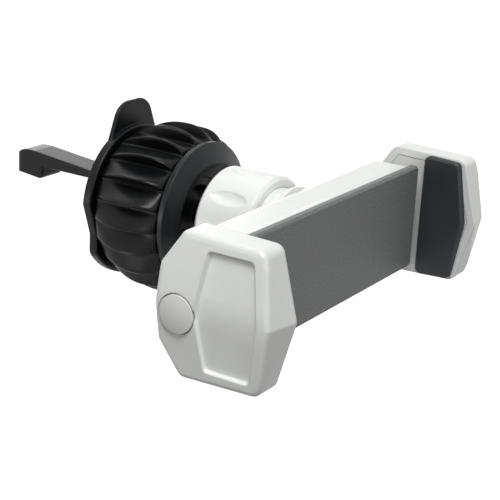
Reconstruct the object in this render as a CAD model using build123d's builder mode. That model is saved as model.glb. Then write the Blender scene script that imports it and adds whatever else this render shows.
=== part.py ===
# Air vent phone holder: a sliding two-arm cradle on a ball joint, held by a hook and a big knob.
# Millimetres. X runs to the right arm, Y runs back to the vent, Z is up.
# The origin is the centre of the back pad's front face, where the phone rests.
from build123d import *
from math import acos, asin, atan2, cos, degrees, hypot, pi, radians, sin, sqrt, tan
import os

os.makedirs("parts", exist_ok=True)

# Clearances between mating pieces
running_gap = 0.06
sliding_gap = 0.2
ball_gap = 0.15
press_gap = 0.02

# Cradle: gap between the arms when shut, and how far each arm draws out
phone_gap = 66.0
arm_travel = 13.0

# Back pad and the housing behind it
end_gap = 1.1
pad_overhang = 0.3
pad_thick = 1.5
pad_corner = 1.0
pad_bevel = 0.45
cover_thick = 1.5
housing_height = 20.8
housing_depth = 9.0
housing_wall = 1.3
housing_round = 2.2

# Arm outline seen from its end, in Y and Z
arm_tip_y = -12.0
arm_front_y = -8.6
arm_front_z = 12.5
arm_rear_y = 7.0
arm_rear_z = 13.0
arm_bow_y = 11.6
arm_back_y = 11.2
arm_back_z = 6.7
arm_corner_round = 1.8

# Arm thickness, its mid-height ridge and the bevel at its front
arm_depth = 6.9
arm_ridge = 1.5
ridge_round = 24.0
bevel_edge_y = -8.8
bevel_edge_z = 12.3
bevel_ridge_y = -10.7
tip_flat = 1.6
arm_wall = 1.7
arm_skin = 2.6
arm_edge_round = 1.1

# Shallow field in the arm's outer face
field_front_y = -7.2
field_bow_y = -8.2
field_rear_y = 2.1
field_point_y = 3.4
field_z = 10.8
field_depth = 0.7
field_slope = 28.0
field_round = 1.1

# Grip pad on the arm's inner face
grip_thick = 1.4
grip_front_y = -7.9
grip_tip_y = -9.9
grip_front_z = 12.1
grip_rear_z = 12.5
grip_rear_y = -0.3
grip_bevel = 0.4
grip_round = 1.2

# Inner panel of the arm, with the rack tongue and the latch finger that slide in the housing
panel_thick = 1.4
tongue_y = 3.5
tongue_play = 0.5
tongue_reach = 19.5
tongue_round = 0.5
rail_inset = 0.8
rail_width = 1.0
finger_z = 1.6
finger_height = 3.0
finger_thick = 1.5

# Rack and pinion
gear_module = 0.8
pinion_teeth = 12
pinion_addendum = 0.65
rack_addendum = 0.5
gear_dedendum = 0.75
gear_backlash = 0.16
pressure_angle = 20.0
rack_teeth = 9
axle_radius = 1.2
axle_boss_radius = 2.6
axle_boss_stand = 0.3
axle_seat = 0.5

# Opening spring, a flat spiral behind the pinion
spiral_inner = 2.0
spiral_outer = 4.0
spiral_turns = 3.5
spiral_strip = 0.3
spiral_width = 1.2
spiral_post = 0.5

# Release button, its spring and the latch it trips
button_y = 7.0
button_z = -1.3
button_radius = 3.4
button_travel = 1.0
button_stand = 0.45
button_dome = 0.4
button_lug = 0.7
button_rim = 0.8
push_bar_height = 1.8
push_bar_width = 2.0
push_bar_rise = 0.3
push_bar_play = 0.3
latch_x = 13.5
latch_arm = 5.0
latch_tail = 2.4
latch_hub = 1.9
latch_nib = 0.4
latch_tip_z = -2.2
latch_post_radius = 1.0
latch_thick = 2.2
ratchet_pitch = 1.3
ratchet_depth = 0.7
ratchet_base_z = -4.1
ratchet_base = 1.0
ratchet_land = 0.15
coil_wire = 0.3
coil_radius = 2.3
coil_turns = 3

# Screws
screw_radius = 0.9
screw_play = 0.1
screw_post_radius = 2.0
screw_head_radius = 1.7
screw_head_height = 1.1
screw_head_low = 0.3
cross_depth = 0.5
cross_length = 2.0
cross_width = 0.4
arm_screw_y = -4.0
arm_screw_z = 7.6
housing_screw_x = 26.0
housing_screw_z = 6.6

# Ball joint, on an axis a little above the middle of the cradle
axis_z = 1.5
ball_y = 18.8
ball_radius = 6.5
neck_radius = 2.75
liner_thick = 0.6
socket_wall = 1.1
socket_end = 2.2
boss_foot = 0.8
slit_start_y = 16.8
slit_width = 0.9
cup_angle = 65.0
liner_front_angle = 80.0
liner_rear_angle = 58.0
mouth_angle = 56.0
collar_front_y = 13.6
collar_rear_y = 25.5
collar_radius = 10.5
collar_chamfer = 0.6
mouth_flare = 1.6
thread_play = 0.1
scoop_count = 8
scoop_depth = 0.8
scoop_angle = 138.0
scoop_length = 12.6
scoop_bulge = 2.0

# Knob: front ring, barrel and its swept teeth
ring_front_y = 28.3
ring_mouth_radius = 10.4
ring_radius = 14.25
ring_chamfer = 1.6
ring_rear_y = 31.0
knob_rear_y = 46.1
knob_end_radius = 14.0
knob_front_radius = 14.8
knob_front_power = 3
knob_rear_power = 2
knob_stations = 7
knob_belly_radius = 16.9
knob_belly_y = 37.5
knob_root_radius = 13.9
knob_teeth = 21
knob_tooth_phase = 166.4
knob_steep = 1.2
knob_land = 0.9
seam_width = 0.3
seam_depth = 0.5

# Threaded spindle with the ball, and the vent hook that it carries
spindle_radius = 5.5
spindle_flat = 4.8
spindle_flat_y = 34.9
spindle_chamfer = 0.6
spindle_front_y = 33.4
spindle_rear_y = 53.6
hook_width = 6.25
hook_bar_z = 4.9
hook_bar_thick = 1.4
hook_rise = 1.6
strip_thick = 0.8
strip_width = 5.0
strip_bend = 1.3
tang_width = 3.2
tang_y = 38.0
hook_inner_y = 68.6
hook_end_y = 76.2
hook_lip_z = 1.5
hook_lip_rise = 0.7
hook_top_y = 71.0
hook_back_round = 3.2
hook_low_round = 1.0
hook_edge_round = 0.35
hook_end_round = 2.2

# Clamp plate behind the knob, with its two tabs
plate_gap = 0.4
plate_radius = 14.9
plate_thick = 4.1
plate_rim = 1.9
plate_side_z = 1.5
plate_waist = 12.6
plate_waist_z = -5.0
plate_low_round = 2.2
low_tab_reach = 15.4
plate_edge = 0.35
hub_radius = 12.0
hub_shoulder = 8.0
hub_slope = 1.0
top_tab_width = 17.2
top_tab_base = 10.0
top_tab_reach = 19.9
top_tab_flat = 9.0
top_tab_round = 4.4
top_tab_thick = 0.9
washer_radius = 9.2
washer_thick = 1.0
washer_stand = 0.3
washer_play = 0.1

# Places worked out from the sizes above
arm_face_x = phone_gap / 2
rim_x = arm_face_x + grip_thick
ridge_x = arm_face_x + arm_depth + arm_ridge
edge_x = arm_face_x + arm_depth
cavity_x = ridge_x - arm_skin
pad_half = arm_face_x - end_gap
housing_front_y = pad_thick + cover_thick
housing_rear_y = pad_thick + housing_depth
inside_rear_y = housing_rear_y - housing_wall
inside_z = housing_height / 2 - housing_wall
pad_height = housing_height + 2 * pad_overhang
panel_inner_x = rim_x + panel_thick
pitch_radius = gear_module * pinion_teeth / 2
rack_pitch = pi * gear_module
plate_front_y = knob_rear_y + plate_gap
plate_rear_y = plate_front_y + plate_thick
socket_radius = ball_radius + 2 * ball_gap + liner_thick
boss_radius = socket_radius + socket_wall
boss_rear_y = ball_y + socket_end
joint_axis = Axis((0, 0, axis_z), (0, 1, 0))
joint_plane = Plane(origin=(0, 0, axis_z), x_dir=(0, 1, 0), z_dir=(1, 0, 0))
spiral_y = inside_rear_y - axle_boss_stand - sliding_gap - spiral_width
tongue_thick = spiral_y - tongue_y
tongue_rear_y = tongue_y + tongue_thick
tongue_back_z = inside_z - tongue_play
pinion_thick = tongue_thick - 2 * sliding_gap
finger_rear_y = tongue_y + finger_thick
push_bar_y = finger_rear_y + sliding_gap
push_bar_z = button_z + push_bar_rise
cap_top = ridge_x - arm_ridge * abs(button_z) / arm_rear_z + button_stand
cap_base = cavity_x - sliding_gap
button_room_x = cap_base - button_lug - button_travel - sliding_gap
dome_radius = (button_radius**2 + button_dome**2) / (2 * button_dome)
latch_tip_x = latch_arm - latch_x + sliding_gap
latch_tail_x = -latch_x - latch_tail
push_end_x = push_bar_play - latch_tail_x
knob_front_y = ring_rear_y + seam_width
bowl_radius = hypot(ring_front_y - ball_y, ring_mouth_radius)
sleeve_front_y = spindle_rear_y + sliding_gap
collar_bore = boss_radius + thread_play
collar_seat = socket_radius + running_gap


def across(y):
    """Plane across the depth at y, seen from the front: its x is X and its y is Z."""
    return Plane(origin=(0, y, 0), x_dir=(1, 0, 0), z_dir=(0, -1, 0))


def across_joint(y):
    """The same plane, centred on the ball joint's axis."""
    return Plane(origin=(0, y, axis_z), x_dir=(1, 0, 0), z_dir=(0, -1, 0))


def end_on(x):
    """Plane seen from the arm's end at x: its x is Y and its y is Z."""
    return Plane(origin=(x, 0, 0), x_dir=(0, 1, 0), z_dir=(1, 0, 0))


def polar(radius, angle):
    """Point at a radius and an angle in degrees."""
    return (radius * cos(radians(angle)), radius * sin(radians(angle)))


def save(piece, name):
    """Label a piece and write its file."""
    piece.part.label = name
    export_step(piece.part, f"parts/{name}.step")


def save_pair(piece, name):
    """Write the left piece, and the right one turned half round the depth axis."""
    save(piece, f"left_{name}")
    with BuildPart() as twin:
        add(piece.part.rotate(Axis.Y, 180))
    save(twin, f"right_{name}")


def arm_outline(inset=0.0):
    """The arm's eight-sided outline with rounded corners, drawn in Y and Z."""
    points = [
        (arm_tip_y, 0),
        (arm_front_y, -arm_front_z),
        (arm_rear_y, -arm_rear_z),
        (arm_back_y, -arm_back_z),
        (arm_bow_y, 0),
        (arm_back_y, arm_back_z),
        (arm_rear_y, arm_rear_z),
        (arm_front_y, arm_front_z),
    ]
    with BuildSketch() as outline:
        with BuildLine():
            Polyline(*points, close=True)
        make_face()
        fillet(outline.vertices(), arm_corner_round)
        if inset:
            offset(amount=-inset, mode=Mode.REPLACE)
    return outline.sketch


def ridge_profile(inset=0.0):
    """Cross-section of the arm in X and Z: a low ridge runs along its outer face."""
    tall = arm_rear_z + arm_wall
    lean = arm_ridge * tall / arm_rear_z
    apex = -(ridge_x - inset)
    with BuildSketch() as section:
        with BuildLine():
            Polyline(
                (0, -tall),
                (apex + lean, -tall),
                (apex, 0),
                (apex + lean, tall),
                (0, tall),
                close=True,
            )
        make_face()
        ridge = section.vertices().sort_by(Axis.X)[0]
        fillet(ridge, ridge_round)
    return section.sketch


def bevel_plane(side):
    """Plane of the upper (side 1) or lower (side -1) front bevel of the left arm."""
    corner = Vector(-edge_x, bevel_edge_y, side * bevel_edge_z)
    ridge = Vector(-ridge_x, bevel_ridge_y, 0)
    tip = Vector(-(arm_face_x + tip_flat), arm_tip_y, 0)
    normal = (corner - ridge).cross(tip - ridge)
    if normal.Y > 0:
        normal = normal * -1
    return Plane(origin=tip, z_dir=normal)


# The field sunk in the arm's outer face, as the block of material that it leaves out
with BuildPart() as field_block:
    with BuildSketch(end_on(-cavity_x)) as field_outline:
        with BuildLine():
            Polyline(
                (field_rear_y, field_z),
                (field_front_y, field_z),
                (field_bow_y, 0),
                (field_front_y, -field_z),
                (field_rear_y, -field_z),
                (field_point_y, 0),
                close=True,
            )
        make_face()
        fillet(field_outline.vertices(), field_round)
        offset(amount=-tan(radians(field_slope)) * (ridge_x - field_depth - cavity_x), mode=Mode.REPLACE)
    extrude(amount=-2 * arm_skin, taper=-field_slope)
    with BuildSketch(across(0)):
        add(ridge_profile(field_depth))
    extrude(amount=2 * arm_rear_z, both=True, mode=Mode.SUBTRACT)

# Arm shell: the white cap of the arm, hollow, open towards the phone
with BuildPart() as arm_shell:
    with BuildSketch(end_on(-rim_x)):
        add(arm_outline())
    extrude(amount=-(ridge_x - rim_x + arm_wall))
    with BuildSketch(across(0)):
        add(ridge_profile())
    extrude(amount=2 * arm_rear_z, both=True, mode=Mode.INTERSECT)
    split(bisect_by=bevel_plane(1), keep=Keep.BOTTOM)
    split(bisect_by=bevel_plane(-1), keep=Keep.BOTTOM)
    outer_edges = arm_shell.edges().filter_by(lambda e: e.center().X < -(rim_x + edge_x) / 2)
    fillet(outer_edges, arm_edge_round)
    with BuildSketch(end_on(-rim_x)):
        add(arm_outline(arm_wall))
    extrude(amount=-(cavity_x - rim_x), mode=Mode.SUBTRACT)
    with BuildSketch(end_on(-button_room_x)):
        with Locations((button_y, button_z)):
            Circle(button_radius + ball_gap)
    extrude(amount=-(ridge_x + arm_wall - button_room_x), mode=Mode.SUBTRACT)
    with BuildSketch(end_on(-panel_inner_x)):
        with Locations((arm_screw_y, arm_screw_z), (arm_screw_y, -arm_screw_z)):
            Circle(screw_post_radius)
    extrude(amount=-(cavity_x - panel_inner_x))
    with BuildSketch(end_on(-panel_inner_x)):
        with Locations((arm_screw_y, arm_screw_z), (arm_screw_y, -arm_screw_z)):
            Circle(screw_radius + press_gap)
    extrude(amount=-(cavity_x - panel_inner_x), mode=Mode.SUBTRACT)
    add(field_block.part, mode=Mode.SUBTRACT)
save_pair(arm_shell, "arm_shell")


def rack_outline():
    """Tongue seen from the front: teeth below along the pitch line, and a straight back."""
    half_tooth = rack_pitch / 4 - gear_backlash / 4
    lean = tan(radians(pressure_angle))
    tip_z = pitch_radius - rack_addendum
    root_z = pitch_radius + gear_dedendum
    tip_half = half_tooth - rack_addendum * lean
    root_half = half_tooth + gear_dedendum * lean
    points = [(-panel_inner_x, root_z)]
    for tooth in range(rack_teeth):
        x = (tooth - 1) * rack_pitch
        points += [(x - root_half, root_z), (x - tip_half, tip_z), (x + tip_half, tip_z), (x + root_half, root_z)]
    points += [(tongue_reach, root_z), (tongue_reach, tongue_back_z), (-panel_inner_x, tongue_back_z)]
    return points


# Rack: the arm's inner panel with its toothed tongue and its latch finger, moulded as one
with BuildPart() as rack:
    with BuildSketch(end_on(-rim_x)):
        add(arm_outline(arm_wall + running_gap))
    extrude(amount=-panel_thick)
    with BuildSketch(across(tongue_y)):
        with BuildLine():
            Polyline(*rack_outline(), close=True)
        make_face()
    extrude(amount=-tongue_thick)
    with BuildSketch(across(tongue_y)):
        with Locations(((-panel_inner_x - latch_x) / 2, finger_z)):
            Rectangle(panel_inner_x - latch_x, finger_height)
        with Locations((-latch_x, finger_z)):
            Circle(finger_height / 2)
    extrude(amount=-finger_thick)
    with BuildSketch(across(finger_rear_y)):
        with Locations((-latch_x, finger_z)):
            Circle(latch_post_radius)
    extrude(amount=-(latch_thick + 2 * sliding_gap))
    with BuildSketch(end_on(-rim_x)):
        with Locations((push_bar_y + push_bar_width / 2, push_bar_z)):
            Rectangle(push_bar_width + 2 * sliding_gap, push_bar_height + 2 * sliding_gap)
        with Locations((arm_screw_y, arm_screw_z), (arm_screw_y, -arm_screw_z)):
            Circle(screw_radius + screw_play)
    extrude(amount=-panel_thick, mode=Mode.SUBTRACT)
    tongue_end = rack.edges().filter_by(Axis.Y).group_by(Axis.X)[-1]
    fillet(tongue_end, tongue_round)
save_pair(rack, "rack")

# Grip pad: black rubber on the arm's inner face, bevelled all round
with BuildPart() as grip:
    with BuildSketch(end_on(-arm_face_x)) as grip_outline:
        with BuildLine():
            Polyline(
                (grip_tip_y, 0),
                (grip_front_y, -grip_front_z),
                (grip_rear_y, -grip_rear_z),
                (grip_rear_y, grip_rear_z),
                (grip_front_y, grip_front_z),
                close=True,
            )
        make_face()
        fillet(grip_outline.vertices(), grip_round)
    extrude(amount=-grip_thick)
    chamfer(grip.faces().sort_by(Axis.X)[-1].edges(), grip_bevel)
save_pair(grip, "grip_pad")

# Release button: a low domed cap with two lugs inside the arm and a bar that reaches the latch
with BuildPart() as button:
    with BuildSketch(Plane(origin=(0, button_y, button_z), x_dir=(-1, 0, 0), z_dir=(0, -1, 0))):
        with BuildLine():
            Line((cap_base - button_lug, 0), (cap_top, 0))
            ThreePointArc(
                (cap_top, 0),
                (cap_top - dome_radius * (1 - cos(asin(button_radius / 2 / dome_radius))), button_radius / 2),
                (cap_top - button_dome, button_radius),
            )
            Line((cap_top - button_dome, button_radius), (cap_base - button_lug, button_radius))
            Line((cap_base - button_lug, button_radius), (cap_base - button_lug, 0))
        make_face()
    revolve(axis=Axis((0, button_y, button_z), (1, 0, 0)))
    with BuildSketch(end_on(-(cap_base - button_lug))):
        with Locations((button_y, button_z)):
            Rectangle(button_radius, 2 * (button_radius + button_rim))
    extrude(amount=-button_lug)
    with BuildSketch(end_on(-(cap_base - button_lug))):
        with Locations((push_bar_y + push_bar_width / 2, push_bar_z)):
            Rectangle(push_bar_width, push_bar_height)
    extrude(amount=cap_base - button_lug - push_end_x)
save_pair(button, "button")

# Button spring: a few turns of wire round the push bar
with BuildPart() as button_spring:
    spring_start = panel_inner_x + coil_wire
    spring_length = cap_base - button_lug - coil_wire - spring_start
    with BuildLine() as coil:
        Helix(
            pitch=spring_length / coil_turns,
            height=spring_length,
            radius=coil_radius,
            center=(-spring_start, push_bar_y + push_bar_width / 2, push_bar_z),
            direction=(-1, 0, 0),
        )
    with BuildSketch(Plane(origin=coil.line @ 0, z_dir=coil.line % 0)):
        RegularPolygon(coil_wire / 2, 6)
    sweep(is_frenet=True)
save_pair(button_spring, "button_spring")

# Latch: a bell crank on the finger's post; its tip stands over the ratchet, its tail meets the bar
with BuildPart() as latch:
    with BuildSketch(across(finger_rear_y + sliding_gap)):
        with BuildLine():
            Polyline(
                (-latch_x, finger_z + latch_hub),
                (latch_tip_x + 2 * latch_nib, latch_tip_z + 3 * latch_nib),
                (latch_tip_x, latch_tip_z),
                (latch_tip_x - 3 * latch_nib, latch_tip_z + 2 * latch_nib),
                (-latch_x, finger_z - latch_hub),
                (latch_tail_x + 3 * latch_nib, push_bar_z - push_bar_height / 2),
                (latch_tail_x, push_bar_z - push_bar_height / 2),
                (latch_tail_x, push_bar_z + latch_nib),
                (-latch_x - latch_hub, finger_z),
                close=True,
            )
        make_face()
        with Locations((-latch_x, finger_z)):
            Circle(latch_hub)
            Circle(latch_post_radius + running_gap, mode=Mode.SUBTRACT)
    extrude(amount=-latch_thick)
save_pair(latch, "latch")

# Screws that hold the arm's panel to its shell
with BuildPart() as arm_screws:
    with BuildSketch(end_on(-(rim_x + panel_thick))):
        with Locations((arm_screw_y, arm_screw_z), (arm_screw_y, -arm_screw_z)):
            Circle(screw_radius)
    extrude(amount=-(cavity_x - panel_inner_x - sliding_gap))
    with BuildSketch(end_on(-(rim_x + panel_thick))):
        with Locations((arm_screw_y, arm_screw_z), (arm_screw_y, -arm_screw_z)):
            Circle(screw_radius)
    extrude(amount=panel_thick - sliding_gap)
save_pair(arm_screws, "arm_screws")

# Pinion between the two racks, with involute teeth
with BuildPart() as pinion:
    base_radius = pitch_radius * cos(radians(pressure_angle))
    root_radius = pitch_radius - gear_dedendum
    tip_radius = pitch_radius + pinion_addendum
    half_at_pitch = pi / (2 * pinion_teeth) - gear_backlash / 4 / pitch_radius
    roll_at_pitch = tan(radians(pressure_angle)) - radians(pressure_angle)

    def half_angle(radius):
        """Half the tooth's angle in degrees at a radius on its involute."""
        roll = acos(min(1.0, base_radius / radius))
        return degrees(half_at_pitch + roll_at_pitch - (tan(roll) - roll))

    outline = []
    flank = [base_radius, pitch_radius, (pitch_radius + tip_radius) / 2, tip_radius]
    for tooth in range(pinion_teeth):
        middle = (tooth + 0.5) * 360 / pinion_teeth
        outline.append(polar(root_radius, middle - half_angle(base_radius)))
        outline += [polar(radius, middle - half_angle(radius)) for radius in flank]
        outline += [polar(radius, middle + half_angle(radius)) for radius in reversed(flank)]
        outline.append(polar(root_radius, middle + half_angle(base_radius)))
    with BuildSketch(across(tongue_y + sliding_gap)):
        with BuildLine():
            Polyline(*outline, close=True)
        make_face()
        Circle(axle_radius + running_gap, mode=Mode.SUBTRACT)
    extrude(amount=-pinion_thick)
    with BuildSketch(across(tongue_y + sliding_gap + pinion_thick)):
        Circle(spiral_inner - spiral_strip / 2)
        Circle(axle_radius + running_gap, mode=Mode.SUBTRACT)
    extrude(amount=-(sliding_gap + spiral_width))
save(pinion, "pinion")

# Axle pin of the pinion, held in the cover's and the housing's bosses
with BuildPart() as axle:
    with BuildSketch(across(pad_thick + axle_seat)):
        Circle(axle_radius)
    extrude(amount=-(inside_rear_y + axle_seat - press_gap - pad_thick - axle_seat))
save(axle, "pinion_axle")

# Opening spring: a flat spiral strip from the axle out to a post on the housing
with BuildPart() as opening_spring:
    half_turns = int(2 * spiral_turns)
    spiral_step = (spiral_outer - spiral_inner) / half_turns
    with BuildSketch(across(spiral_y)):
        with BuildLine() as spiral:
            for half in range(half_turns):
                side = (-1) ** half
                start_r = spiral_inner + half * spiral_step
                end_r = start_r + spiral_step
                middle_x = side * (start_r - end_r) / 2
                ThreePointArc(
                    (side * start_r, 0),
                    (middle_x, side * (start_r + end_r) / 2),
                    (-side * end_r, 0),
                )
        trace(line_width=spiral_strip)
    extrude(amount=-spiral_width)
save(opening_spring, "opening_spring")

# Rear housing: the white casing behind the pad, with the racks' guides and the ball socket
with BuildPart() as housing:
    with BuildSketch(across(housing_front_y)):
        RectangleRounded(2 * pad_half, housing_height, housing_round)
    extrude(amount=-(housing_rear_y - housing_front_y))
    fillet(housing.faces().sort_by(Axis.Y)[-1].edges(), housing_round)
    with BuildSketch(across(housing_front_y)):
        Rectangle(2 * (pad_half - housing_wall), 2 * inside_z)
    extrude(amount=-(inside_rear_y - housing_front_y), mode=Mode.SUBTRACT)
    # Windows in the end walls for the tongues, the fingers and the push bars
    for side in (1, -1):
        with BuildSketch(across(tongue_y - sliding_gap)):
            with Locations((-side * pad_half, side * (pitch_radius - rack_addendum + tongue_back_z) / 2)):
                Rectangle(4 * housing_wall, tongue_back_z - pitch_radius + rack_addendum + 2 * sliding_gap)
        extrude(amount=-(tongue_thick + 2 * sliding_gap), mode=Mode.SUBTRACT)
        low = push_bar_z - push_bar_height / 2 - sliding_gap
        high = finger_z + finger_height / 2 + sliding_gap
        with BuildSketch(across(tongue_y - sliding_gap)):
            with Locations((-side * pad_half, side * (low + high) / 2)):
                Rectangle(4 * housing_wall, high - low)
        extrude(amount=-(push_bar_y + push_bar_width + sliding_gap - tongue_y + sliding_gap), mode=Mode.SUBTRACT)
    # Rails that carry the tongues, from the rear wall
    for side in (1, -1):
        with BuildSketch(across(tongue_rear_y + sliding_gap)):
            with Locations((0, side * (tongue_back_z - rail_inset))):
                Rectangle(2 * (pad_half - housing_wall), rail_width)
        extrude(amount=-(inside_rear_y - tongue_rear_y - sliding_gap))
    # Ratchet strips under the latches
    for side in (1, -1):
        count = int((arm_travel + 2 * ratchet_pitch) / ratchet_pitch)
        start = latch_arm - latch_x + ratchet_pitch
        top = ratchet_base_z + ratchet_base
        points = [(start, ratchet_base_z)]
        for tooth in range(count):
            x = start - tooth * ratchet_pitch
            points += [(x, top), (x - ratchet_land, top + ratchet_depth)]
        end_x = start - count * ratchet_pitch
        points += [(end_x, top), (end_x, ratchet_base_z)]
        with BuildSketch(across(finger_rear_y + sliding_gap)):
            with BuildLine():
                Polyline(*[(side * x, side * z) for x, z in points], close=True)
            make_face()
        extrude(amount=-(inside_rear_y - finger_rear_y - sliding_gap))
    # Axle boss, spring post and screw posts
    with BuildSketch(across(inside_rear_y - axle_boss_stand)):
        Circle(axle_boss_radius)
    extrude(amount=-axle_boss_stand)
    with BuildSketch(across(inside_rear_y - spiral_width - sliding_gap)):
        with Locations(polar(spiral_outer + spiral_strip / 2 + spiral_post, 360 * spiral_turns)):
            Circle(spiral_post)
    extrude(amount=-(spiral_width + sliding_gap))
    with BuildSketch(across(housing_front_y)):
        with Locations((housing_screw_x, housing_screw_z), (-housing_screw_x, -housing_screw_z)):
            Circle(2 * screw_radius)
    extrude(amount=-(inside_rear_y - housing_front_y))
    # Ball socket on its boss, slit so that the collar can close it
    with BuildSketch(joint_plane):
        with BuildLine():
            Polyline(
                (housing_rear_y - housing_wall / 2, 0),
                (housing_rear_y - housing_wall / 2, boss_radius + boss_foot),
                (housing_rear_y, boss_radius + boss_foot),
                (housing_rear_y + boss_foot, boss_radius),
                (boss_rear_y, boss_radius),
                (boss_rear_y, 0),
                close=True,
            )
        make_face()
    revolve(axis=joint_axis)
    with BuildSketch(joint_plane):
        with BuildLine():
            ThreePointArc(
                (ball_y - socket_radius, 0),
                (ball_y, socket_radius),
                (ball_y + socket_radius, 0),
            )
            Line((ball_y + socket_radius, 0), (ball_y - socket_radius, 0))
        make_face()
    revolve(axis=joint_axis, mode=Mode.SUBTRACT)
    for slit in range(4):
        with BuildSketch(across_joint(slit_start_y)):
            with Locations(Rotation(0, 0, 45 + 90 * slit)):
                with Locations((boss_radius, 0)):
                    Rectangle(boss_radius, slit_width)
        extrude(amount=-(boss_rear_y - slit_start_y), mode=Mode.SUBTRACT)
    # Bores for the axle and the two case screws
    with BuildSketch(across(inside_rear_y - axle_boss_stand)):
        Circle(axle_radius + press_gap)
    extrude(amount=-(axle_boss_stand + axle_seat), mode=Mode.SUBTRACT)
    with BuildSketch(across(housing_front_y)):
        with Locations((housing_screw_x, housing_screw_z), (-housing_screw_x, -housing_screw_z)):
            Circle(screw_radius + press_gap)
    extrude(amount=-housing_depth, mode=Mode.SUBTRACT)
    with BuildSketch(across(housing_rear_y - screw_head_height)):
        with Locations((housing_screw_x, housing_screw_z), (-housing_screw_x, -housing_screw_z)):
            Circle(screw_head_radius + sliding_gap)
    extrude(amount=-2 * screw_head_height, mode=Mode.SUBTRACT)
save(housing, "rear_housing")

# Front cover: the plate that shuts the housing, under the back pad
with BuildPart() as cover:
    with BuildSketch(across(pad_thick)):
        RectangleRounded(2 * pad_half, housing_height, housing_round)
    extrude(amount=-cover_thick)
    with BuildSketch(across(housing_front_y)):
        Circle(axle_boss_radius)
    extrude(amount=-(tongue_y - housing_front_y))
    with BuildSketch(across(pad_thick + axle_seat - press_gap)):
        Circle(axle_radius + press_gap)
    extrude(amount=-(tongue_y - pad_thick), mode=Mode.SUBTRACT)
save(cover, "front_cover")

# Back pad: the grey textured pad that the phone lies on, with a bevelled rim
with BuildPart() as back_pad:
    with BuildSketch(across(0)):
        RectangleRounded(2 * pad_half, pad_height, pad_corner)
    extrude(amount=-pad_thick)
    chamfer(back_pad.faces().sort_by(Axis.Y)[0].edges(), pad_bevel)
save(back_pad, "back_pad")

# Two screws that hold the case together from behind
with BuildPart() as case_screws:
    with BuildSketch(across(housing_rear_y - screw_head_height)):
        with Locations((housing_screw_x, housing_screw_z), (-housing_screw_x, -housing_screw_z)):
            Circle(screw_head_radius)
    extrude(amount=-(screw_head_height - screw_head_low))
    with BuildSketch(across(housing_front_y + sliding_gap)):
        with Locations((housing_screw_x, housing_screw_z), (-housing_screw_x, -housing_screw_z)):
            Circle(screw_radius)
    extrude(amount=-(housing_rear_y - screw_head_height - housing_front_y - sliding_gap))
    for turn in (0, 90):
        with BuildSketch(across(housing_rear_y - screw_head_low - cross_depth)):
            with Locations((housing_screw_x, housing_screw_z), (-housing_screw_x, -housing_screw_z)):
                Rectangle(cross_length, cross_width, rotation=turn)
        extrude(amount=-2 * cross_depth, mode=Mode.SUBTRACT)
save(case_screws, "case_screws")


def shell_section(first, last):
    """Half section of a spherical liner between two angles from the joint axis's rear end."""
    def at(radius, angle):
        return (ball_y + radius * cos(radians(angle)), radius * sin(radians(angle)))

    inner = ball_radius + ball_gap
    outer = socket_radius - ball_gap
    middle = (first + last) / 2
    with BuildSketch() as section:
        with BuildLine():
            ThreePointArc(at(outer, first), at(outer, middle), at(outer, last))
            Line(at(outer, last), at(inner, last))
            ThreePointArc(at(inner, last), at(inner, middle), at(inner, first))
            Line(at(inner, first), at(outer, first))
        make_face()
    return section.sketch


# Ball cup and ball ring: the two thin liners that the ball turns in
with BuildPart() as ball_cup:
    with BuildSketch(joint_plane):
        add(shell_section(180 - cup_angle, 180))
    revolve(axis=joint_axis)
save(ball_cup, "ball_cup")

with BuildPart() as ball_ring:
    with BuildSketch(joint_plane):
        add(shell_section(liner_rear_angle, liner_front_angle))
    revolve(axis=joint_axis)
save(ball_ring, "ball_ring")

# Lens-shaped block that leaves one finger scoop in the collar
with BuildPart() as scoop:
    with BuildSketch(joint_plane):
        scoop_axis_r = collar_radius + scoop_bulge - scoop_depth
        scoop_middle = (collar_front_y + collar_rear_y) / 2
        with BuildLine():
            ThreePointArc(
                (scoop_middle - scoop_length / 2, scoop_axis_r),
                (scoop_middle, scoop_axis_r + scoop_bulge),
                (scoop_middle + scoop_length / 2, scoop_axis_r),
            )
            Line((scoop_middle + scoop_length / 2, scoop_axis_r), (scoop_middle - scoop_length / 2, scoop_axis_r))
        make_face()
    revolve(axis=Axis((0, 0, axis_z + scoop_axis_r), (0, 1, 0)))

# Collar nut: the white ring that closes the socket on the ball
with BuildPart() as collar:
    with BuildSketch(joint_plane):
        seat_start = sqrt(collar_seat**2 - (boss_rear_y + sliding_gap - ball_y) ** 2)
        mouth_y = ball_y + collar_seat * cos(radians(mouth_angle))
        mouth_r = collar_seat * sin(radians(mouth_angle))
        seat_angle = (radians(mouth_angle) + atan2(seat_start, boss_rear_y + sliding_gap - ball_y)) / 2
        with BuildLine():
            Polyline(
                (mouth_y, mouth_r),
                (collar_rear_y, mouth_r + mouth_flare),
                (collar_rear_y, collar_radius - collar_chamfer),
                (collar_rear_y - collar_chamfer, collar_radius),
                (collar_front_y + collar_chamfer, collar_radius),
                (collar_front_y, collar_radius - collar_chamfer),
                (collar_front_y, collar_bore),
                (boss_rear_y + sliding_gap, collar_bore),
                (boss_rear_y + sliding_gap, seat_start),
            )
            ThreePointArc(
                (boss_rear_y + sliding_gap, seat_start),
                (ball_y + collar_seat * cos(seat_angle), collar_seat * sin(seat_angle)),
                (mouth_y, mouth_r),
            )
        make_face()
    revolve(axis=joint_axis)
    for place in range(scoop_count):
        turn = 90 - scoop_angle - place * 360 / scoop_count
        add(scoop.part.rotate(joint_axis, turn), mode=Mode.SUBTRACT)
save(collar, "collar_nut")

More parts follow.
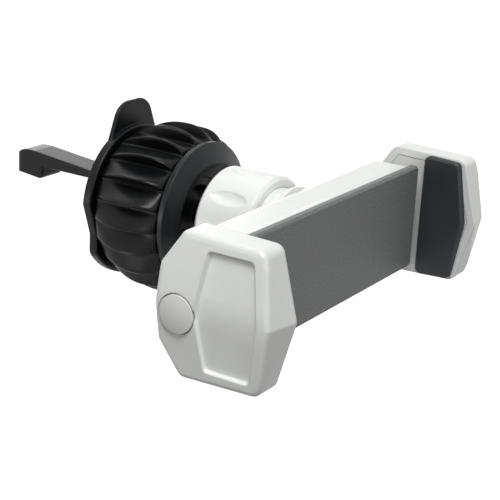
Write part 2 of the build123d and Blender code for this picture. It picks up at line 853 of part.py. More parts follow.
# Hook strip: the flat steel core of the hook, with a narrow tang inside the spindle
with BuildPart() as hook_strip:
    with BuildSketch(end_on(0)):
        with BuildLine():
            lip_mid_y = (hook_inner_y + hook_end_y) / 2
            top_mid_z = hook_bar_z + hook_rise - strip_thick / 2
            FilletPolyline(
                (tang_y, hook_bar_z),
                (sleeve_front_y, hook_bar_z),
                (lip_mid_y, top_mid_z),
                (lip_mid_y, hook_lip_z + strip_bend),
                radius=strip_bend,
            )
        trace(line_width=strip_thick)
    extrude(amount=strip_width / 2, both=True)
    with BuildSketch(across(tang_y - strip_bend)):
        Rectangle(2 * strip_width, 4 * strip_width)
        Rectangle(tang_width, 4 * strip_width, mode=Mode.SUBTRACT)
    extrude(amount=-(sleeve_front_y + 2 * strip_bend - tang_y), mode=Mode.SUBTRACT)
save(hook_strip, "hook_strip")

# Hook sleeve: the soft black cover over the strip, with the thick lip at its end
with BuildPart() as hook_sleeve:
    with BuildSketch(end_on(0)) as sleeve_outline:
        with BuildLine():
            low_z = hook_bar_z - hook_bar_thick / 2
            high_z = hook_bar_z + hook_bar_thick / 2
            Polyline(
                (sleeve_front_y, low_z),
                (hook_inner_y, low_z),
                (hook_inner_y, hook_lip_z),
                (hook_end_y, hook_lip_z + hook_lip_rise),
                (hook_end_y, high_z + hook_rise),
                (hook_top_y, high_z + hook_rise),
                (sleeve_front_y, high_z),
                close=True,
            )
        make_face()
        back_corners = sleeve_outline.vertices().group_by(Axis.X)[-1]
        fillet(back_corners.sort_by(Axis.Y)[-1], hook_back_round)
        fillet(sleeve_outline.vertices().sort_by(Axis.Y)[:2], hook_low_round)
    extrude(amount=hook_width / 2, both=True)
    fillet(hook_sleeve.faces().filter_by(Axis.X).edges(), hook_edge_round)
    with BuildSketch(Plane.XY) as sleeve_plan:
        with Locations((0, (sleeve_front_y + hook_end_y) / 2)):
            Rectangle(hook_width, hook_end_y - sleeve_front_y)
        fillet(sleeve_plan.vertices().group_by(Axis.Y)[-1], hook_end_round)
    extrude(amount=2 * hook_top_y, both=True, mode=Mode.INTERSECT)
    add(hook_strip.part, mode=Mode.SUBTRACT)
save(hook_sleeve, "hook_sleeve")

# Spindle: ball, neck and flatted threaded rod in one
with BuildPart() as spindle:
    with BuildSketch(joint_plane):
        neck_y = ball_y + sqrt(ball_radius**2 - neck_radius**2)
        with BuildLine():
            ThreePointArc(
                (ball_y - ball_radius, 0),
                (ball_y, ball_radius),
                (neck_y, neck_radius),
            )
            Polyline(
                (neck_y, neck_radius),
                (ring_rear_y, neck_radius),
                (spindle_front_y, spindle_radius),
                (spindle_rear_y - spindle_chamfer, spindle_radius),
                (spindle_rear_y, spindle_radius - spindle_chamfer),
                (spindle_rear_y, 0),
                (ball_y - ball_radius, 0),
            )
        make_face()
    revolve(axis=joint_axis)
    with BuildSketch(across_joint(spindle_flat_y)):
        Rectangle(4 * spindle_radius, 4 * spindle_radius)
        Rectangle(2 * spindle_flat, 4 * spindle_radius, mode=Mode.SUBTRACT)
    extrude(amount=-spindle_rear_y, mode=Mode.SUBTRACT)
    with BuildSketch(across(tang_y - press_gap)):
        with Locations((0, hook_bar_z)):
            Rectangle(tang_width + 2 * press_gap, strip_thick + 2 * press_gap)
    extrude(amount=-spindle_rear_y, mode=Mode.SUBTRACT)
save(spindle, "ball_spindle")


def crest_radius(y):
    """Radius of the knob's crests: a barrel curve that is fullest at its belly."""
    if y < knob_belly_y:
        end_y, end_radius, power = knob_front_y, knob_front_radius, knob_front_power
    else:
        end_y, end_radius, power = knob_rear_y, knob_end_radius, knob_rear_power
    share = (y - knob_belly_y) / (end_y - knob_belly_y)
    return knob_belly_radius - (knob_belly_radius - end_radius) * share**power


def sawtooth(crest):
    """Sawtooth ring: each tooth has one steep side, a narrow land and one long flank."""
    points = []
    for tooth in range(knob_teeth):
        angle = knob_tooth_phase + tooth * 360 / knob_teeth
        points.append(polar(crest, angle - knob_land))
        points.append(polar(crest, angle))
        points.append(polar(knob_root_radius, angle + knob_steep))
    return points


# Knob barrel: the big nut with its swept teeth, hollowed in front to clear the collar
with BuildPart() as knob_barrel:
    for station in range(knob_stations):
        y = knob_front_y + station * (knob_rear_y - knob_front_y) / (knob_stations - 1)
        with BuildSketch(across_joint(y)):
            with BuildLine():
                Polyline(*sawtooth(crest_radius(y)), close=True)
            make_face()
    loft()
    with BuildSketch(across_joint(ring_rear_y)):
        Circle(knob_root_radius - seam_depth)
    extrude(amount=-seam_width)
    with BuildSketch(joint_plane):
        with BuildLine():
            ThreePointArc((ball_y - bowl_radius, 0), (ball_y, bowl_radius), (ball_y + bowl_radius, 0))
            Line((ball_y + bowl_radius, 0), (ball_y - bowl_radius, 0))
        make_face()
    revolve(axis=joint_axis, mode=Mode.SUBTRACT)
    with BuildSketch(across_joint(ring_rear_y)):
        Circle(spindle_radius + running_gap)
    extrude(amount=-(knob_rear_y - ring_rear_y), mode=Mode.SUBTRACT)
save(knob_barrel, "knob_barrel")

# Knob front ring: the grey conical ring round the knob's mouth
with BuildPart() as knob_ring:
    with BuildSketch(joint_plane):
        with BuildLine():
            Polyline(
                (ring_front_y, 0),
                (ring_front_y, ring_mouth_radius),
                (ring_front_y + ring_chamfer, ring_radius),
                (ring_rear_y, ring_radius),
                (ring_rear_y, 0),
                close=True,
            )
        make_face()
    revolve(axis=joint_axis)
    with BuildSketch(joint_plane):
        with BuildLine():
            ThreePointArc((ball_y - bowl_radius, 0), (ball_y, bowl_radius), (ball_y + bowl_radius, 0))
            Line((ball_y + bowl_radius, 0), (ball_y - bowl_radius, 0))
        make_face()
    revolve(axis=joint_axis, mode=Mode.SUBTRACT)
save(knob_ring, "knob_front_ring")

# Thrust washer between the knob and the clamp plate
with BuildPart() as washer:
    with BuildSketch(across_joint(plate_front_y - washer_stand)):
        Circle(washer_radius)
        Circle(spindle_radius + 3 * sliding_gap, mode=Mode.SUBTRACT)
    extrude(amount=-washer_thick)
save(washer, "thrust_washer")

# Top tab of the clamp plate, thinner than its rim and rounded on its edges
with BuildPart() as top_tab:
    with BuildSketch(across_joint(plate_front_y + plate_rim - top_tab_thick)) as tab_outline:
        with BuildLine():
            Polyline(
                (-top_tab_width / 2, top_tab_base),
                (-top_tab_flat / 2, top_tab_reach),
                (top_tab_flat / 2, top_tab_reach),
                (top_tab_width / 2, top_tab_base),
                close=True,
            )
        make_face()
        fillet(tab_outline.vertices().group_by(Axis.Y)[-1], top_tab_round)
    extrude(amount=-top_tab_thick)
    fillet(top_tab.faces().filter_by(Axis.Y).edges(), plate_edge)

# Clamp plate: the dark flange that closes on the vent blade, round above and waisted below
with BuildPart() as clamp_plate:
    with BuildSketch(across_joint(plate_front_y)) as plate_outline:
        with BuildLine():
            side_x = sqrt(plate_radius**2 - plate_side_z**2)
            corner_z = -sqrt(low_tab_reach**2 - plate_waist**2)
            ThreePointArc((-side_x, plate_side_z), (0, plate_radius), (side_x, plate_side_z))
            Polyline((side_x, plate_side_z), (plate_waist, plate_waist_z), (plate_waist, corner_z))
            ThreePointArc((plate_waist, corner_z), (0, -low_tab_reach), (-plate_waist, corner_z))
            Polyline((-plate_waist, corner_z), (-plate_waist, plate_waist_z), (-side_x, plate_side_z))
        make_face()
        fillet(plate_outline.vertices().group_by(Axis.Y)[0], plate_low_round)
    extrude(amount=-plate_rim)
    fillet(clamp_plate.faces().filter_by(Axis.Y).edges(), plate_edge)
    with BuildSketch(joint_plane):
        with BuildLine():
            Polyline(
                (plate_front_y + plate_rim / 2, 0),
                (plate_front_y + plate_rim / 2, hub_radius),
                (plate_front_y + plate_rim, hub_radius),
                (plate_rear_y - plate_edge, hub_radius - hub_slope),
                (plate_rear_y, hub_shoulder),
                (plate_rear_y, 0),
                close=True,
            )
        make_face()
    revolve(axis=joint_axis)
    add(top_tab.part)
    with BuildSketch(across_joint(plate_front_y)):
        Circle(spindle_radius + ball_gap)
        Rectangle(2 * (spindle_flat + ball_gap), 4 * spindle_radius, mode=Mode.INTERSECT)
    extrude(amount=-plate_thick, mode=Mode.SUBTRACT)
    with BuildSketch(across_joint(plate_front_y)):
        Circle(washer_radius + washer_play)
    extrude(amount=-(washer_thick - washer_stand), mode=Mode.SUBTRACT)
save(clamp_plate, "clamp_plate")
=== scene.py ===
import math

import bmesh
import bpy
from mathutils import Matrix, Vector


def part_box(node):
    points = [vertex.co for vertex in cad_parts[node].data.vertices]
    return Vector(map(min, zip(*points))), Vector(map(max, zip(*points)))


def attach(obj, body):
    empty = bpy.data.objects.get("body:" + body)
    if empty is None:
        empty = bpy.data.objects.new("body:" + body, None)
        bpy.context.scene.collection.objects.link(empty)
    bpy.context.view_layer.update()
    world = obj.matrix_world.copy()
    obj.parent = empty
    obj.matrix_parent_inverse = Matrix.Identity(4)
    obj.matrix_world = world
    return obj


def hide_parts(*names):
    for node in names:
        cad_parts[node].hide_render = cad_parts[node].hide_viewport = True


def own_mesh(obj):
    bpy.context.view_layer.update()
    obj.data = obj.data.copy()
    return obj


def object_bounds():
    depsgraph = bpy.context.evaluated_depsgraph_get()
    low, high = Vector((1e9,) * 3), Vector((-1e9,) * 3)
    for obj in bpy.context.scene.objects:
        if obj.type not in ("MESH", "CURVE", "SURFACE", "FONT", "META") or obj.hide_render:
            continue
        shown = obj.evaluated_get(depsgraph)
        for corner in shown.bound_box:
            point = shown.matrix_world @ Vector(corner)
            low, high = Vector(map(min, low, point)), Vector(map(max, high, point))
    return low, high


# Air vent phone holder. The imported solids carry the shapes; this script gives them their
# finishes, the knob's moulded teeth, the studio and the camera. Metres, in the solids' own frame.
MM = 0.001

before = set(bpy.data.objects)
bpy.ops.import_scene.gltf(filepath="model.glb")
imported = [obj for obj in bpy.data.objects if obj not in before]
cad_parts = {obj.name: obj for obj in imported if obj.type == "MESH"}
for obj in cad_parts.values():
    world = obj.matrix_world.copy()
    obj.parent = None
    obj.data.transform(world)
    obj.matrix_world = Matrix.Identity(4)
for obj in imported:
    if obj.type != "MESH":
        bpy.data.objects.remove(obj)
cad_low, cad_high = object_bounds()

# The knob's barrel: sawtooth teeth with moulded, softly rounded crests and roots.
# The crests bulge at the belly and fall away by a power of the distance to either end.
# The tooth's phase, land and steep side are in degrees round the axis.
KNOB_TEETH = 21
TOOTH_PHASE = 166.4
TOOTH_LAND = 0.9
TOOTH_STEEP = 1.2
ROOT_RADIUS = 13.9 * MM
BELLY_RADIUS = 16.9 * MM
BELLY_Y = 37.5 * MM
FRONT_RADIUS = 14.8 * MM
FRONT_BULGE = 3
REAR_RADIUS = 14.0 * MM
REAR_BULGE = 2
NECK_RADIUS = 13.4 * MM
NECK_WIDTH = 0.3 * MM
BORE_RADIUS = 5.56 * MM
BOWL_RADIUS = 14.086 * MM
BALL_Y = 18.8 * MM
BARREL_EDGE = 0.3 * MM

# How finely the barrel is cut, and how often its crests are smoothed
LAND_STEPS = 1
STEEP_STEPS = 8
FLANK_STEPS = 14
BARREL_STEPS = 26
BOWL_STEPS = 4
TOOTH_STEPS = (LAND_STEPS, STEEP_STEPS, FLANK_STEPS)
CREST_SOFTENING = 2

# Own skins: faces that meet at more than this stay sharp, and points nearer than this are one
SHARP_ANGLE = math.radians(42)
WELD = 0.001 * MM

# Finishes: the usual spread of a grain's values, its build, and the strength of the moulds' texture
GRAIN_RANGE = (0.3, 0.7)
PAD_RANGE = (0.35, 0.65)
GRAIN_DETAIL = 3.0
PAD_DETAIL = 4.0
GRAIN_ROUGHNESS = 0.55
CLOUD_MM = 9.0
MOULD_STRENGTH = 0.5
BEVEL_SAMPLES = 12

# Where a colour Mix node keeps its two inputs and its result
MIX_A = 6
MIX_B = 7
MIX_RESULT = 2

# The camera, at the photograph's viewing angle
CAMERA_YAW = math.radians(58.1)
CAMERA_PITCH = math.radians(18.6)
CAMERA_ROLL = math.radians(3.1)
CAMERA_DISTANCE = 229.72 * MM
CAMERA_AIM = Vector((-30.62, 0.0, 8.71)) * MM
CAMERA_NEAR = 10 * MM
CAMERA_FAR = 20.0
SENSOR_WIDTH = 36.0
FRAME_PIXELS = 500
FOCAL_PIXELS = 1394.7

# The studio: white to the eye, dim as a source of light; the softboxes light the holder
WHITE = "#FFFFFF"
WHITE_LEVEL = 1.0
ROOM_LIGHT = 0.10
FLOOR_DROP = 120 * MM
FLOOR_SIZE = 6.0
FLOOR_LIT = "#505050"
FLOOR_SHADE = "#8C8C8C"
# Painted shade round the holder: the floor's glow is this level at SHADOW_NEAR and rises to white at
# SHADOW_FAR
FLOOR_GLOW_IN_PAINTED_SHADE = 0.78
SHADOW_NEAR = 60 * MM
SHADOW_FAR = 260 * MM

# Softboxes: name, direction from the holder, distance, width and height in metres, power in watts
SOFTBOXES = (
    ("key_softbox", (-0.42, -0.22, 0.88), 0.9, 0.40, 0.40, 6.8),
    ("rear_softbox", (0.40, 0.5, 0.74), 0.9, 0.70, 0.35, 1.1),
    ("side_softbox", (-0.86, 0.5, 0.02), 1.0, 0.20, 0.14, 1.2),
    ("front_fill", (-0.35, -1.0, 0.25), 1.2, 0.60, 0.40, 2.6),
    ("back_fill", (0.75, 0.8, 0.15), 1.2, 0.60, 0.40, 3.5),
)


def colour(hex_value):
    """Linear colour of an sRGB hex value."""
    parts = [int(hex_value[i:i + 2], 16) / 255 for i in (1, 3, 5)]
    linear = [c / 12.92 if c <= 0.04045 else ((c + 0.055) / 1.055) ** 2.4 for c in parts]
    return (*linear, 1.0)


def per_size(size_mm):
    """Scale of a texture whose grains are this many millimetres across."""
    return 1 / (size_mm * MM)


def add(tree, kind, links=None, values=None, **settings):
    """Adds one node with its settings, its socket values and its links."""
    made = tree.nodes.new(kind)
    for name, value in settings.items():
        setattr(made, name, value)
    for socket, value in (values or {}).items():
        made.inputs[socket].default_value = value
    for socket, source in (links or {}).items():
        tree.links.new(source, made.inputs[socket])
    return made


def finish(name, dark, light, gloss, grain_mm, depth_mm, strength, edge_mm, constants,
           cloud_mm=None, stretch=None, detail=GRAIN_DETAIL, tone_range=GRAIN_RANGE):
    """A surface of two close tones, with an uneven gloss and a raised grain.

    gloss is the lowest and the highest roughness, edge_mm the radius that edges seem to have,
    and constants are the shader's own. The tones change in clouds, or where cloud_mm is left
    out with the grain, which stretch draws out along one axis.
    """
    material = bpy.data.materials.new(name)
    material.use_nodes = True
    tree = material.node_tree
    tree.nodes.clear()
    output = add(tree, "ShaderNodeOutputMaterial")
    place = add(tree, "ShaderNodeTexCoord").outputs["Object"]
    drawn = place
    if stretch:
        drawn = add(tree, "ShaderNodeMapping", {"Vector": place}, {"Scale": stretch}).outputs["Vector"]
    build = {"Scale": per_size(grain_mm), "Detail": detail, "Roughness": GRAIN_ROUGHNESS}
    fine = add(tree, "ShaderNodeTexNoise", {"Vector": drawn}, build).outputs["Fac"]
    clouds = fine
    if cloud_mm:
        build = {"Scale": per_size(cloud_mm), "Detail": GRAIN_DETAIL, "Roughness": GRAIN_ROUGHNESS}
        clouds = add(tree, "ShaderNodeTexNoise", {"Vector": place}, build).outputs["Fac"]
    span = {"From Min": tone_range[0], "From Max": tone_range[1]}
    share = add(tree, "ShaderNodeMapRange", {"Value": clouds}, span).outputs["Result"]
    pair = {MIX_A: colour(dark), MIX_B: colour(light)}
    tone = add(tree, "ShaderNodeMix", {"Factor": share}, pair, data_type="RGBA").outputs[MIX_RESULT]
    span = {"From Min": GRAIN_RANGE[0], "From Max": GRAIN_RANGE[1], "To Min": gloss[0], "To Max": gloss[1]}
    roughness = add(tree, "ShaderNodeMapRange", {"Value": fine}, span).outputs["Result"]
    raised = {"Height": fine}
    if edge_mm:
        rounded = add(tree, "ShaderNodeBevel", None, {"Radius": edge_mm * MM}, samples=BEVEL_SAMPLES)
        raised["Normal"] = rounded.outputs["Normal"]
    height = {"Strength": strength, "Distance": depth_mm * MM}
    normal = add(tree, "ShaderNodeBump", raised, height).outputs["Normal"]
    links = {"Base Color": tone, "Roughness": roughness, "Normal": normal}
    shader = add(tree, "ShaderNodeBsdfPrincipled", links, constants)
    tree.links.new(shader.outputs["BSDF"], output.inputs["Surface"])
    return material


def moulded(name, dark, light, roughness, uneven, grain_mm, depth_mm, edge_mm=0.15, ior=1.5, shine=0.5):
    """A moulded plastic or rubber: cloudy tones, spark-eroded grain and slightly uneven gloss."""
    return finish(
        name, dark, light, gloss=(roughness - uneven, roughness + uneven), grain_mm=grain_mm,
        depth_mm=depth_mm, strength=MOULD_STRENGTH, edge_mm=edge_mm, cloud_mm=CLOUD_MM,
        constants={"IOR": ior, "Specular IOR Level": shine},
    )


def satin_white_abs():
    """ABS moulded white on a fine-blasted tool: clean white with a broad, soft sheen."""
    return moulded(
        "satin_white_abs", "#E6E8E5", "#EAECE9",
        roughness=0.30, uneven=0.008, grain_mm=0.8, depth_mm=0.001, edge_mm=0.45, ior=1.53,
    )


def pale_grey_abs():
    """ABS moulded pale grey for the button: a little darker and drier than the shell."""
    return moulded(
        "pale_grey_abs", "#DDDEDA", "#E2E3DF",
        roughness=0.55, uneven=0.01, grain_mm=0.8, depth_mm=0.001, edge_mm=0.3, ior=1.53, shine=0.4,
    )


def black_grip_rubber():
    """Thermoplastic rubber moulded matt for the grips: charcoal, dry, with a fine tooth."""
    return moulded(
        "black_grip_rubber", "#222527", "#2A2D2F",
        roughness=0.50, uneven=0.04, grain_mm=0.30, depth_mm=0.012, edge_mm=0.25, shine=0.35,
    )


def hook_rubber():
    """Soft rubber sleeve of the hook: near black with a smooth, slightly greasy sheen."""
    return moulded(
        "hook_rubber", "#08090A", "#0C0D0E",
        roughness=0.40, uneven=0.03, grain_mm=0.45, depth_mm=0.004, edge_mm=0.5, shine=0.2,
    )


def black_knob_nylon():
    """Glass-filled nylon moulded for the knob: near black with a hard satin gloss on its teeth."""
    return moulded(
        "black_knob_nylon", "#060708", "#0A0B0C",
        roughness=0.32, uneven=0.015, grain_mm=0.6, depth_mm=0.001, edge_mm=0, ior=1.53, shine=0.18,
    )


def ring_nylon():
    """The same nylon on the front ring, blasted a little finer, so it looks a shade greyer."""
    return moulded(
        "ring_nylon", "#121416", "#171A1C",
        roughness=0.34, uneven=0.02, grain_mm=0.35, depth_mm=0.004, edge_mm=0.3, ior=1.53, shine=0.25,
    )


def black_acetal():
    """Acetal moulded black for the plate and the spindle: deep and satin."""
    return moulded(
        "black_acetal", "#08090B", "#0C0E10",
        roughness=0.34, uneven=0.02, grain_mm=0.40, depth_mm=0.004, edge_mm=0.3, ior=1.48, shine=0.22,
    )


def natural_acetal():
    """Uncoloured acetal for the gear, the racks and the latches: milky white and waxy."""
    return moulded(
        "natural_acetal", "#DEDEDA", "#E3E3DF",
        roughness=0.34, uneven=0.02, grain_mm=0.5, depth_mm=0.002, ior=1.48,
    )


def washer_nylon():
    """Uncoloured nylon of the washer: milky."""
    return moulded(
        "washer_nylon", "#D8D6CC", "#DFDDD4",
        roughness=0.40, uneven=0.03, grain_mm=0.5, depth_mm=0.003, ior=1.53,
    )


def grained_pad():
    """Moulded elastomer pad: mid grey and matt, with a speckle of grain drawn coarse enough to see."""
    return finish(
        "grained_pad", "#5D5F5E", "#777978", gloss=(0.5, 0.62), grain_mm=0.45, depth_mm=0.05,
        strength=0.6, edge_mm=0.2, detail=PAD_DETAIL, tone_range=PAD_RANGE, constants={"IOR": 1.5},
    )


def drawn_steel(name, stretch=None):
    """Cold-drawn steel: grey metal with fine lines along its length."""
    return finish(
        name, "#8C8E90", "#A6A8AA", gloss=(0.28, 0.42), grain_mm=0.12, depth_mm=0.01,
        strength=0.3, edge_mm=0.08, stretch=stretch, constants={"Metallic": 1.0},
    )


def dress(material, *names):
    """Gives CAD nodes their finish."""
    for name in names:
        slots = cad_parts[name].data.materials
        slots.clear()
        slots.append(material)


def both(name):
    """The left and the right piece of a pair."""
    return f"left_{name}", f"right_{name}"


def dress_all():
    """Every CAD node in the finish of its own material."""
    dress(satin_white_abs(), *both("arm_shell"), "rear_housing", "front_cover", "collar_nut")
    dress(black_grip_rubber(), *both("grip_pad"))
    dress(hook_rubber(), "hook_sleeve")
    dress(grained_pad(), "back_pad")
    dress(ring_nylon(), "knob_front_ring")
    dress(black_acetal(), "clamp_plate", "ball_spindle")
    dress(natural_acetal(), *both("rack"), *both("latch"), "pinion", "ball_cup", "ball_ring")
    dress(washer_nylon(), "thrust_washer")
    along_depth = (1.0, 0.05, 1.0)
    dress(drawn_steel("drawn_steel_strip", along_depth), "hook_strip", "pinion_axle", "case_screws")
    along_width = (0.05, 1.0, 1.0)
    dress(drawn_steel("drawn_steel_pins", along_width), *both("arm_screws"))
    dress(drawn_steel("spring_strip"), "opening_spring")


def place_piece(name, mesh, material, node, body):
    """A piece that stands for a CAD node, in its finish, on its body."""
    mesh.materials.clear()
    mesh.materials.append(material)
    piece = bpy.data.objects.new(name, mesh)
    bpy.context.scene.collection.objects.link(piece)
    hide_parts(node)
    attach(piece, body)
    return piece


def crest_radius(y, front_y, rear_y):
    """Radius of the tooth crests: fullest at the belly, falling to both ends."""
    if y < BELLY_Y:
        end_y, end_radius, bulge = front_y, FRONT_RADIUS, FRONT_BULGE
    else:
        end_y, end_radius, bulge = rear_y, REAR_RADIUS, REAR_BULGE
    share = (y - BELLY_Y) / (end_y - BELLY_Y)
    return BELLY_RADIUS - (BELLY_RADIUS - end_radius) * share ** bulge


def tooth_ring(crest):
    """Outline of the teeth for one crest radius, with crests and roots rounded off."""
    corners = []
    for tooth in range(KNOB_TEETH):
        angle = TOOTH_PHASE + tooth * 360 / KNOB_TEETH
        land = (crest, angle - TOOTH_LAND)
        edge = (crest, angle)
        root = (ROOT_RADIUS, angle + TOOTH_STEEP)
        for radius, turn in (land, edge, root):
            direction = Vector((math.cos(math.radians(turn)), math.sin(math.radians(turn))))
            corners.append(direction * radius)
    ring = []
    for index, corner in enumerate(corners):
        count = TOOTH_STEPS[index % len(TOOTH_STEPS)]
        following = corners[(index + 1) % len(corners)]
        ring += [corner.lerp(following, step / count) for step in range(count)]
    for _ in range(CREST_SOFTENING):
        ring = [(ring[i - 1] + 2 * here + ring[(i + 1) % len(ring)]) / 4 for i, here in enumerate(ring)]
    return ring


def round_ring(radius, outline):
    """A circle with as many points as the toothed outline, on the same angles."""
    return [point.normalized() * radius for point in outline]


def closed_skin(name, rings):
    """Mesh from rings of points, joined one to the next and the last to the first."""
    count = len(rings[0])
    points = [point for ring in rings for point in ring]
    faces = []
    for row in range(len(rings)):
        here = row * count
        ahead = (row + 1) % len(rings) * count
        for i in range(count):
            j = (i + 1) % count
            faces.append((here + i, here + j, ahead + j, ahead + i))
    mesh = bpy.data.meshes.new(name)
    mesh.from_pydata(points, [], faces)
    mesh.polygons.foreach_set("use_smooth", [True] * len(faces))
    mesh.set_sharp_from_angle(angle=SHARP_ANGLE)
    mesh.update()
    return mesh


def barrel_profile():
    """Places along the knob with the outline at each: the teeth, the front neck, the bowl and the bore."""
    barrel_low, barrel_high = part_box("knob_barrel")
    front_y, rear_y = barrel_low.y, barrel_high.y
    teeth_y = front_y + NECK_WIDTH

    def teeth_at(y):
        return tooth_ring(crest_radius(y, teeth_y, rear_y))

    outline = teeth_at(BELLY_Y)
    chamfered = 1 - BARREL_EDGE / ROOT_RADIUS
    profile = [(rear_y, round_ring(BORE_RADIUS, outline))]
    profile.append((rear_y, [point * chamfered for point in teeth_at(rear_y)]))
    for step in range(BARREL_STEPS + 1):
        y = rear_y - BARREL_EDGE + (teeth_y - rear_y + 2 * BARREL_EDGE) * step / BARREL_STEPS
        profile.append((y, teeth_at(y)))
    profile.append((teeth_y, [point * chamfered for point in teeth_at(teeth_y)]))
    profile.append((teeth_y, round_ring(NECK_RADIUS, outline)))
    profile.append((front_y, round_ring(NECK_RADIUS, outline)))
    bowl_end = BALL_Y + math.sqrt(BOWL_RADIUS ** 2 - BORE_RADIUS ** 2)
    for step in range(BOWL_STEPS + 1):
        y = front_y + (bowl_end - front_y) * step / BOWL_STEPS
        profile.append((y, round_ring(math.sqrt(BOWL_RADIUS ** 2 - (y - BALL_Y) ** 2), outline)))
    return profile


def add_knob_barrel():
    """The barrel with its swept teeth, its bowl and its bore, in place of the plainer solid."""
    low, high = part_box("knob_front_ring")
    axis_x = (low.x + high.x) / 2
    axis_z = (low.z + high.z) / 2
    rings = [[(axis_x + p.x, y, axis_z + p.y) for p in ring] for y, ring in barrel_profile()]
    mesh = closed_skin("knob_barrel_moulded", rings)
    place_piece("knob_barrel_moulded", mesh, black_knob_nylon(), "knob_barrel", "knob")


def add_button_cap(side, material):
    """A release button with its skin welded shut, so that the dome takes the light evenly to its pole."""
    button = f"{side}_button"
    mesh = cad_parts[button].data.copy()
    shape = bmesh.new()
    shape.from_mesh(mesh)
    bmesh.ops.remove_doubles(shape, verts=shape.verts, dist=WELD)
    bmesh.ops.dissolve_degenerate(shape, edges=shape.edges, dist=WELD)
    shape.to_mesh(mesh)
    shape.free()
    if "custom_normal" in mesh.attributes:
        mesh.attributes.remove(mesh.attributes["custom_normal"])
    mesh.set_sharp_from_angle(angle=SHARP_ANGLE)
    place_piece(f"{side}_button_cap", mesh, material, button, button)


def add_button_coil(side, material):
    """A button's return spring as a piece of its own, with a mesh of its own, carried by the arm."""
    node = f"{side}_button_spring"
    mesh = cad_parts[node].data.copy()
    coil = place_piece(f"{side}_button_coil", mesh, material, node, f"{side}_arm")
    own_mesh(coil)


def camera_axes():
    """The camera's right, up and forward directions."""
    forward = Vector((
        math.sin(CAMERA_YAW) * math.cos(CAMERA_PITCH),
        math.cos(CAMERA_YAW) * math.cos(CAMERA_PITCH),
        -math.sin(CAMERA_PITCH),
    ))
    level = Vector((math.cos(CAMERA_YAW), -math.sin(CAMERA_YAW), 0))
    upright = level.cross(forward)
    right = level * math.cos(CAMERA_ROLL) + upright * math.sin(CAMERA_ROLL)
    up = upright * math.cos(CAMERA_ROLL) - level * math.sin(CAMERA_ROLL)
    return right, up, forward


def add_camera():
    """The camera at the photograph's angle and distance."""
    right, up, forward = camera_axes()
    data = bpy.data.cameras.new("camera")
    data.sensor_width = SENSOR_WIDTH
    data.lens = FOCAL_PIXELS * SENSOR_WIDTH / FRAME_PIXELS
    data.clip_start = CAMERA_NEAR
    data.clip_end = CAMERA_FAR
    camera = bpy.data.objects.new("camera", data)
    bpy.context.scene.collection.objects.link(camera)
    turn = Matrix((right, up, -forward)).transposed().to_4x4()
    camera.matrix_world = Matrix.Translation(CAMERA_AIM - forward * CAMERA_DISTANCE) @ turn
    bpy.context.scene.camera = camera


def add_softbox(name, direction, distance, width, height, power):
    """A softbox that faces the holder from a direction."""
    data = bpy.data.lights.new(name, "AREA")
    data.shape = "RECTANGLE"
    data.size = width
    data.size_y = height
    data.energy = power
    lamp = bpy.data.objects.new(name, data)
    bpy.context.scene.collection.objects.link(lamp)
    centre = (cad_low + cad_high) / 2
    away = Vector(direction).normalized()
    lamp.location = centre + away * distance
    lamp.rotation_mode = "QUATERNION"
    lamp.rotation_quaternion = away.to_track_quat("Z", "Y")


def split_by_eye(tree, lit, shown):
    """Surface that lights the holder with one shader, and shows another to every ray that sees it."""
    path = add(tree, "ShaderNodeLightPath").outputs
    eye = {0: path["Is Camera Ray"], 1: path["Is Glossy Ray"]}
    seen = add(tree, "ShaderNodeMath", eye, operation="MAXIMUM")
    glass = {0: seen.outputs[0], 1: path["Is Transmission Ray"]}
    clear = add(tree, "ShaderNodeMath", glass, operation="MAXIMUM")
    links = {0: clear.outputs[0], 1: lit.outputs[0], 2: shown.outputs[0]}
    return add(tree, "ShaderNodeMixShader", links).outputs[0]


def add_world():
    """An even surround: white to look at, and dim as a source of light."""
    world = bpy.data.worlds.new("studio")
    world.use_nodes = True
    tree = world.node_tree
    tree.nodes.clear()
    output = add(tree, "ShaderNodeOutputWorld")
    lit = add(tree, "ShaderNodeBackground", None, {"Color": colour(WHITE), "Strength": ROOM_LIGHT})
    shown = add(tree, "ShaderNodeBackground", None, {"Color": colour(WHITE), "Strength": WHITE_LEVEL})
    tree.links.new(split_by_eye(tree, lit, shown), output.inputs["Surface"])
    bpy.context.scene.world = world


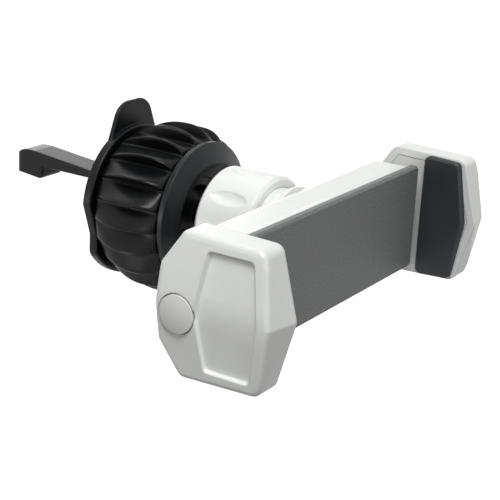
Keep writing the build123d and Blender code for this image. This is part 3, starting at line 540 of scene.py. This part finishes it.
def floor_finish():
    """Painted board: dim as a source of light; to the eye white, with its glow turned down near the holder
    as painted shade that deepens the holder's shadow.
    """
    material = bpy.data.materials.new("pale_floor")
    material.use_nodes = True
    tree = material.node_tree
    tree.nodes.clear()
    output = add(tree, "ShaderNodeOutputMaterial")
    place = add(tree, "ShaderNodeTexCoord").outputs["Object"]
    dim = add(tree, "ShaderNodeBsdfDiffuse", None, {"Color": colour(FLOOR_LIT)})
    shade = add(tree, "ShaderNodeBsdfDiffuse", None, {"Color": colour(FLOOR_SHADE)})
    reach = add(tree, "ShaderNodeVectorMath", {0: place}, operation="LENGTH").outputs["Value"]
    # Painted shade: the glow is dimmest at the holder and reaches white further out
    painted_shade_span = {
        "From Min": SHADOW_NEAR,
        "From Max": SHADOW_FAR,
        "To Min": FLOOR_GLOW_IN_PAINTED_SHADE,
        "To Max": WHITE_LEVEL,
    }
    level = add(tree, "ShaderNodeMapRange", {"Value": reach}, painted_shade_span).outputs["Result"]
    glow = add(tree, "ShaderNodeEmission", {"Strength": level}, {"Color": colour(WHITE)})
    white = add(tree, "ShaderNodeAddShader", {0: shade.outputs[0], 1: glow.outputs[0]})
    tree.links.new(split_by_eye(tree, dim, white), output.inputs["Surface"])
    return material


def add_floor():
    """A plain pale floor under the holder: it looks white and keeps a soft shadow from the lamps, deepened
    near the holder by painted shade.
    """
    mesh = bpy.data.meshes.new("floor")
    half = FLOOR_SIZE / 2
    corners = [(-half, -half, 0), (half, -half, 0), (half, half, 0), (-half, half, 0)]
    mesh.from_pydata(corners, [], [(0, 1, 2, 3)])
    mesh.materials.append(floor_finish())
    floor = bpy.data.objects.new("floor", mesh)
    centre = (cad_low + cad_high) / 2
    floor.location = (centre.x, centre.y, cad_low.z - FLOOR_DROP)
    bpy.context.scene.collection.objects.link(floor)


dress_all()
add_knob_barrel()
button_finish = pale_grey_abs()
coil_finish = drawn_steel("drawn_steel_wire")
for side in ("left", "right"):
    add_button_cap(side, button_finish)
for side in ("left", "right"):
    add_button_coil(side, coil_finish)
add_camera()
add_world()
add_floor()
for softbox in SOFTBOXES:
    add_softbox(*softbox)

bpy.context.scene.view_settings.view_transform = "Standard"
